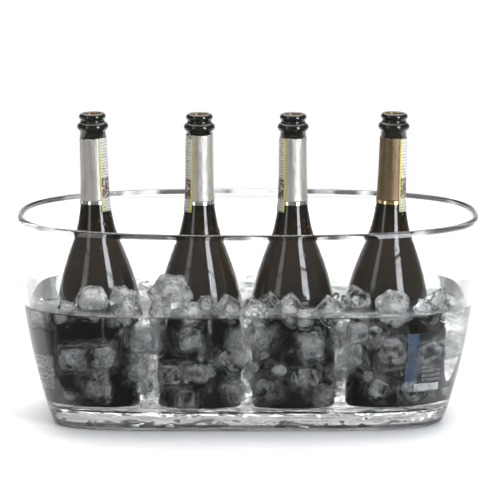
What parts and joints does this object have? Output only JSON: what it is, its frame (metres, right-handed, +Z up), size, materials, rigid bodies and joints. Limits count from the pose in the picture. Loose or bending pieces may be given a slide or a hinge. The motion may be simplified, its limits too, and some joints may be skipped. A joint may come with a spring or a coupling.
{
  "type": "wine chilling bowl with bottles and ice",
  "caption": "Clear oval chilling bowl filled with iced water, holding a row of open sparkling wine bottles that lift out.",
  "frame": {"origin": "centre of the bowl's footprint, on the surface it stands on", "axes": "+X along the row of bottles, from bottle 1 to bottle 4; -Y is the front, the side the picture shows; +Z up"},
  "size_m": [0.489, 0.276, 0.3265],
  "materials": {
    "clear_acrylic": "clear, polished",
    "water": "clear liquid",
    "ice": "clear with a cloudy core, wet",
    "bottle_glass": "gloss, near-black green",
    "wine": "clear liquid",
    "silver_foil": "creased foil",
    "bronze_foil": "creased foil",
    "silver_band": "bright",
    "gold_band": "bright",
    "strip_paper": null,
    "grey_label_paper": null,
    "blue_label_paper": null
  },
  "bodies": {
    "bowl": {"bowl": "clear_acrylic", "water": "water", "ice_back_left": "ice", "ice_back_right": "ice", "ice_front_01": "ice", "ice_front_02": "ice", "ice_front_03": "ice", "ice_front_04": "ice", "ice_front_05": "ice", "ice_front_06": "ice", "ice_front_07": "ice", "ice_front_08": "ice", "ice_front_09": "ice", "ice_front_10": "ice", "ice_front_11": "ice", "ice_front_12": "ice", "ice_front_13": "ice", "ice_front_14": "ice", "ice_front_15": "ice", "ice_front_16": "ice", "ice_front_17": "ice", "ice_front_18": "ice", "ice_front_19": "ice", "ice_front_20": "ice", "ice_sunk_far_left_back": "ice", "ice_sunk_far_left_front": "ice", "ice_sunk_far_right_back": "ice", "ice_sunk_far_right_front": "ice", "ice_sunk_left_back": "ice", "ice_sunk_left_front": "ice", "ice_sunk_middle_back": "ice", "ice_sunk_middle_front": "ice", "ice_sunk_right_back": "ice", "ice_sunk_right_front": "ice"},
    "bottle_1": {"bottle_1_body_label": "grey_label_paper", "bottle_1_foil_band": "silver_band", "bottle_1_foil_sleeve": "silver_foil", "bottle_1_glass": "bottle_glass", "bottle_1_neck_strip": "strip_paper", "bottle_1_wine": "wine"},
    "bottle_2": {"bottle_2_body_label": "grey_label_paper", "bottle_2_foil_band": "silver_band", "bottle_2_foil_sleeve": "silver_foil", "bottle_2_glass": "bottle_glass", "bottle_2_neck_strip": "strip_paper", "bottle_2_wine": "wine"},
    "bottle_3": {"bottle_3_body_label": "grey_label_paper", "bottle_3_foil_band": "silver_band", "bottle_3_foil_sleeve": "silver_foil", "bottle_3_glass": "bottle_glass", "bottle_3_neck_strip": "strip_paper", "bottle_3_wine": "wine"},
    "bottle_4": {"bottle_4_body_label": "blue_label_paper", "bottle_4_foil_band": "gold_band", "bottle_4_foil_sleeve": "bronze_foil", "bottle_4_glass": "bottle_glass", "bottle_4_neck_strip": "strip_paper", "bottle_4_wine": "wine"}
  },
  "joints": [
    {"name": "bottle_1_lift", "type": "slide", "parent": "bowl", "child": "bottle_1", "axis": [-0.0227, 0, 0.9997], "range_m": [0, 0.24]},
    {"name": "bottle_2_lift", "type": "slide", "parent": "bowl", "child": "bottle_2", "axis": [0, 0, 1], "range_m": [0, 0.24]},
    {"name": "bottle_3_lift", "type": "slide", "parent": "bowl", "child": "bottle_3", "axis": [0, 0, 1], "range_m": [0, 0.24]},
    {"name": "bottle_4_lift", "type": "slide", "parent": "bowl", "child": "bottle_4", "axis": [0.0279, 0, 0.9996], "range_m": [0, 0.24]}
  ]
}
